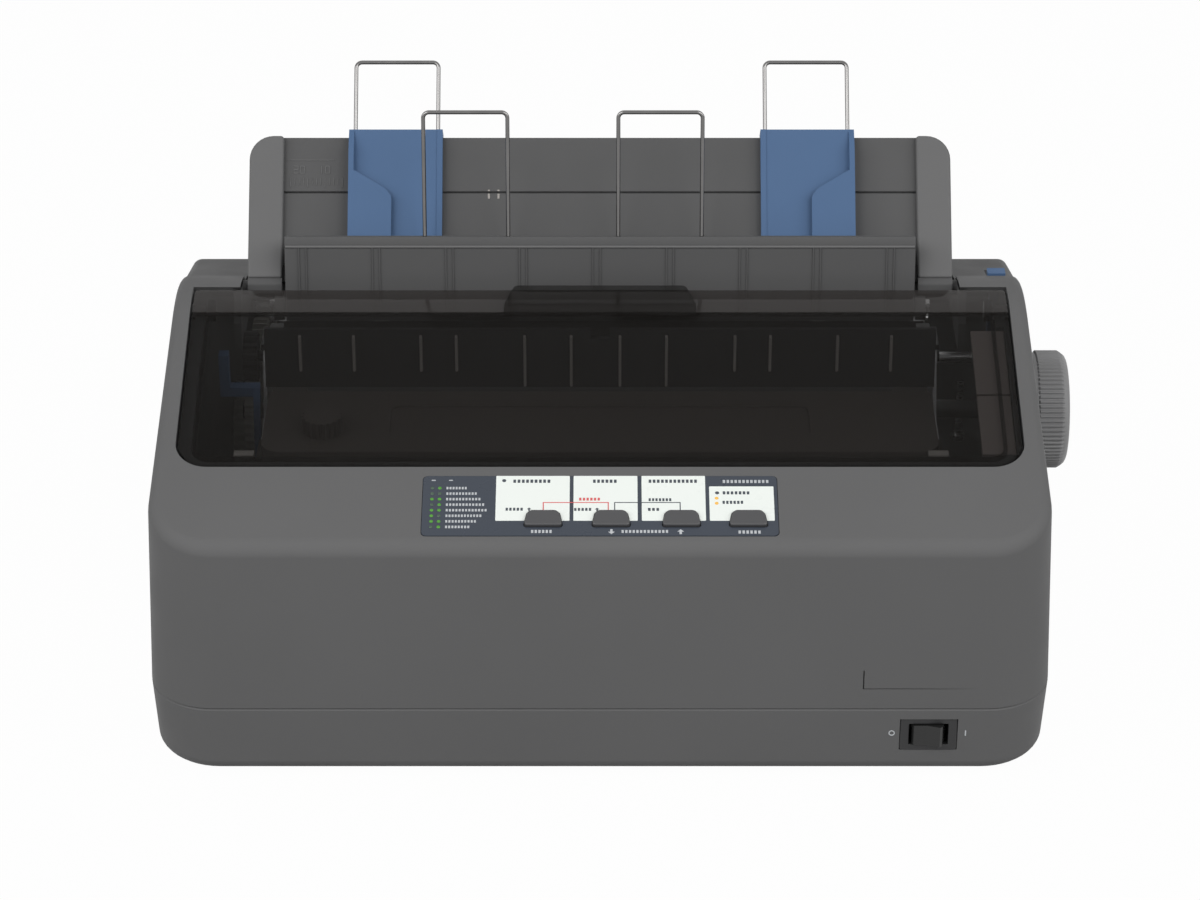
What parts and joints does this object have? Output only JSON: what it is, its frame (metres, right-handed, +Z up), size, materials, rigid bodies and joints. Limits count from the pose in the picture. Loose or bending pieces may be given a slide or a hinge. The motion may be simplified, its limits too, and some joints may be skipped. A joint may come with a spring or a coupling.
{
  "type": "dot matrix printer",
  "caption": "Narrow desktop impact printer with smoked hinged cover, leaning sheet guide, sliding blue edge guides, wire paper supports, platen knob and push tractor.",
  "frame": {"origin": "under the middle of the whole part, knob included, at the level of the feet's undersides", "axes": "+X to the right of someone facing the control panel, +Y to the back, +Z up"},
  "size_m": [0.375, 0.2755, 0.2178],
  "materials": {
    "case_plastic": "finely textured dark grey moulding",
    "guide_plastic": "smooth dark grey moulding",
    "smoked_plastic": "clear smoked brown, polished",
    "blue_plastic": "smooth blue moulding",
    "black_plastic": "satin black",
    "black_gloss": "polished black",
    "button_plastic": "satin dark grey",
    "knob_plastic": "ribbed dark grey",
    "panel_film": "printed slate film",
    "lamp_plastic": "green lens",
    "white_plastic": "natural acetal",
    "brass_gear": "turned",
    "bright_steel": "ground",
    "frame_steel": "zinc plated sheet",
    "chrome_wire": "plated round wire",
    "platen_rubber": "ground rubber",
    "foot_rubber": "moulded",
    "belt_rubber": "toothed",
    "board_green": "solder mask",
    "head_aluminium": "black anodised casting"
  },
  "bodies": {
    "chassis": {"lower_case": "case_plastic", "upper_case": "case_plastic", "rubber_feet": "foot_rubber", "case_screws": "bright_steel", "bottom_plate": "frame_steel", "left_side_plate": "frame_steel", "right_side_plate": "frame_steel", "panel_overlay": "panel_film", "panel_board": "board_green", "indicator_lights": "lamp_plastic", "power_switch_body": "black_plastic", "shaft_bearings": "white_plastic", "feed_motor": "frame_steel", "gear_studs": "bright_steel", "tractor_guide_shaft": "bright_steel", "carriage_shaft": "bright_steel", "carriage_rail": "frame_steel", "timing_belt": "belt_rubber", "carriage_motor": "frame_steel", "ribbon_cartridge": "black_plastic", "paper_guide": "black_plastic", "eject_cover": "guide_plastic", "circuit_boards": "board_green", "rear_connectors": "black_plastic"},
    "cover": {"printer_cover": "smoked_plastic"},
    "guide": {"sheet_guide": "case_plastic"},
    "flap": {"sheet_guide_cover": "guide_plastic"},
    "left_guide": {"left_edge_guide": "blue_plastic"},
    "right_guide": {"right_edge_guide": "blue_plastic"},
    "rear_wire_left": {"left_rear_wire": "chrome_wire"},
    "rear_wire_right": {"right_rear_wire": "chrome_wire"},
    "front_wire_left": {"left_front_wire": "chrome_wire"},
    "front_wire_right": {"right_front_wire": "chrome_wire"},
    "pause": {"pause_button": "button_plastic"},
    "load": {"load_button": "button_plastic"},
    "feed": {"feed_button": "button_plastic"},
    "font": {"font_button": "button_plastic"},
    "rocker": {"power_switch_rocker": "black_gloss"},
    "platen": {"platen_knob": "knob_plastic", "platen_shaft": "bright_steel", "platen_roller": "platen_rubber", "platen_gear": "white_plastic"},
    "motor_pinion": {"feed_motor_pinion": "brass_gear"},
    "reduction": {"reduction_gear": "white_plastic"},
    "tractor_idler": {"tractor_idler_gear": "white_plastic"},
    "tractor_drive": {"tractor_shaft": "bright_steel"},
    "eject": {"eject_roller": "platen_rubber"},
    "tractor_left": {"left_tractor": "black_plastic"},
    "tractor_right": {"right_tractor": "black_plastic"},
    "sprocket_left": {"left_sprocket": "white_plastic"},
    "sprocket_right": {"right_sprocket": "white_plastic"},
    "gate_left": {"left_tractor_gate": "black_plastic"},
    "gate_right": {"right_tractor_gate": "black_plastic"},
    "carriage_body": {"carriage": "black_plastic", "print_head": "head_aluminium"},
    "drive_pulley": {"motor_pulley": "brass_gear"},
    "tension_pulley": {"idler_pulley": "white_plastic"},
    "ribbon_winder": {"ribbon_knob": "knob_plastic"},
    "release_lever": {"paper_release_lever": "blue_plastic"},
    "thickness_lever": {"paper_thickness_lever": "blue_plastic"}
  },
  "joints": [
    {"name": "cover_hinge", "type": "hinge", "parent": "chassis", "child": "cover", "pos_m": [-0.0085, -0.003, 0.1415], "axis": [-1, 0, 0], "range_deg": [0, 60]},
    {"name": "sheet_guide_tilt", "type": "hinge", "parent": "chassis", "child": "guide", "pos_m": [-0.0085, 0.02, 0.141], "axis": [-1, 0, 0], "range_deg": [0, 50]},
    {"name": "flap_hinge", "type": "hinge", "parent": "guide", "child": "flap", "pos_m": [-0.0085, 0.011, 0.133], "axis": [1, 0, 0], "range_deg": [0, 26]},
    {"name": "left_edge_slide", "type": "slide", "parent": "guide", "child": "left_guide", "axis": [1, 0, 0], "range_m": [-0.02, 0.045]},
    {"name": "right_edge_slide", "type": "slide", "parent": "guide", "child": "right_guide", "axis": [-1, 0, 0], "range_m": [-0.02, 0.045]},
    {"name": "left_rear_wire_slide", "type": "slide", "parent": "left_guide", "child": "rear_wire_left", "axis": [0, 0.6428, 0.766], "range_m": [-0.024, 0]},
    {"name": "right_rear_wire_slide", "type": "slide", "parent": "right_guide", "child": "rear_wire_right", "axis": [0, 0.6428, 0.766], "range_m": [-0.024, 0]},
    {"name": "left_front_wire_slide", "type": "slide", "parent": "flap", "child": "front_wire_left", "axis": [0, 0.1857, 0.9826], "range_m": [-0.015, 0]},
    {"name": "right_front_wire_slide", "type": "slide", "parent": "flap", "child": "front_wire_right", "axis": [0, 0.1857, 0.9826], "range_m": [-0.015, 0]},
    {"name": "font_press", "type": "slide", "parent": "chassis", "child": "font", "axis": [0, 0.2672, -0.9636], "range_m": [0, 0.0008], "stiffness_N_per_m": 1500, "springref_m": -0.0002},
    {"name": "feed_press", "type": "slide", "parent": "chassis", "child": "feed", "axis": [0, 0.2672, -0.9636], "range_m": [0, 0.0008], "stiffness_N_per_m": 1500, "springref_m": -0.0002},
    {"name": "load_press", "type": "slide", "parent": "chassis", "child": "load", "axis": [0, 0.2672, -0.9636], "range_m": [0, 0.0008], "stiffness_N_per_m": 1500, "springref_m": -0.0002},
    {"name": "pause_press", "type": "slide", "parent": "chassis", "child": "pause", "axis": [0, 0.2672, -0.9636], "range_m": [0, 0.0008], "stiffness_N_per_m": 1500, "springref_m": -0.0002},
    {"name": "power_rocker_tilt", "type": "hinge", "parent": "chassis", "child": "rocker", "pos_m": [0.1215, -0.1321, 0.0227], "axis": [0, 0, 1], "range_deg": [0, 16]},
    {"name": "platen_spin", "type": "hinge", "parent": "chassis", "child": "platen", "pos_m": [-0.0085, 0.018, 0.084], "axis": [1, 0, 0], "continuous": true},
    {"name": "reduction_spin", "type": "hinge", "parent": "chassis", "child": "reduction", "pos_m": [-0.0085, 0.03574, 0.06286], "axis": [1, 0, 0], "continuous": true},
    {"name": "feed_pinion_spin", "type": "hinge", "parent": "chassis", "child": "motor_pinion", "pos_m": [-0.0085, 0.05497, 0.04672], "axis": [1, 0, 0], "continuous": true},
    {"name": "tractor_idler_spin", "type": "hinge", "parent": "chassis", "child": "tractor_idler", "pos_m": [-0.0085, 0.05402, 0.08891], "axis": [1, 0, 0], "continuous": true},
    {"name": "tractor_spin", "type": "hinge", "parent": "chassis", "child": "tractor_drive", "pos_m": [-0.0085, 0.082, 0.1], "axis": [1, 0, 0], "continuous": true},
    {"name": "eject_spin", "type": "hinge", "parent": "chassis", "child": "eject", "pos_m": [-0.0085, 0.01202, 0.11286], "axis": [1, 0, 0], "continuous": true},
    {"name": "left_tractor_slide", "type": "slide", "parent": "chassis", "child": "tractor_left", "axis": [1, 0, 0], "range_m": [-0.02, 0.06]},
    {"name": "right_tractor_slide", "type": "slide", "parent": "chassis", "child": "tractor_right", "axis": [-1, 0, 0], "range_m": [-0.02, 0.06]},
    {"name": "left_sprocket_spin", "type": "hinge", "parent": "tractor_left", "child": "sprocket_left", "pos_m": [-0.0085, 0.082, 0.1], "axis": [1, 0, 0], "continuous": true},
    {"name": "right_sprocket_spin", "type": "hinge", "parent": "tractor_right", "child": "sprocket_right", "pos_m": [-0.0085, 0.082, 0.1], "axis": [1, 0, 0], "continuous": true},
    {"name": "left_gate_hinge", "type": "hinge", "parent": "tractor_left", "child": "gate_left", "pos_m": [-0.11125, 0.082, 0.1102], "axis": [0, -1, 0], "range_deg": [0, 100]},
    {"name": "right_gate_hinge", "type": "hinge", "parent": "tractor_right", "child": "gate_right", "pos_m": [0.09425, 0.082, 0.1102], "axis": [0, 1, 0], "range_deg": [0, 100]},
    {"name": "carriage_slide", "type": "slide", "parent": "chassis", "child": "carriage_body", "axis": [1, 0, 0], "range_m": [0, 0.196]},
    {"name": "motor_pulley_spin", "type": "hinge", "parent": "chassis", "child": "drive_pulley", "pos_m": [-0.1245, -0.044, 0.06], "axis": [0, 0, 1], "continuous": true},
    {"name": "idler_pulley_spin", "type": "hinge", "parent": "chassis", "child": "tension_pulley", "pos_m": [0.1075, -0.044, 0.06], "axis": [0, 0, 1], "continuous": true},
    {"name": "ribbon_knob_spin", "type": "hinge", "parent": "chassis", "child": "ribbon_winder", "pos_m": [-0.1205, -0.05, 0.112], "axis": [0, 0, 1], "continuous": true},
    {"name": "release_lever_tilt", "type": "hinge", "parent": "chassis", "child": "release_lever", "pos_m": [0.1565, 0.034, 0.1], "axis": [-1, 0, 0], "range_deg": [0, 18]},
    {"name": "thickness_lever_tilt", "type": "hinge", "parent": "chassis", "child": "thickness_lever", "pos_m": [-0.1495, -0.022, 0.08], "axis": [1, 0, 0], "range_deg": [0, 14]}
  ],
  "couplings": [
    {"joint": "reduction_spin", "follows": "platen_spin", "ratio": -2.6667},
    {"joint": "feed_pinion_spin", "follows": "platen_spin", "ratio": 8},
    {"joint": "tractor_idler_spin", "follows": "platen_spin", "ratio": -1.2308},
    {"joint": "tractor_spin", "follows": "platen_spin", "ratio": 1.4545},
    {"joint": "eject_spin", "follows": "platen_spin", "ratio": -2.1333},
    {"joint": "left_sprocket_spin", "follows": "platen_spin", "ratio": 1.4545},
    {"joint": "right_sprocket_spin", "follows": "platen_spin", "ratio": 1.4545},
    {"joint": "motor_pulley_spin", "follows": "carriage_slide", "rad_per_m": -142.86},
    {"joint": "idler_pulley_spin", "follows": "carriage_slide", "rad_per_m": -142.86}
  ]
}
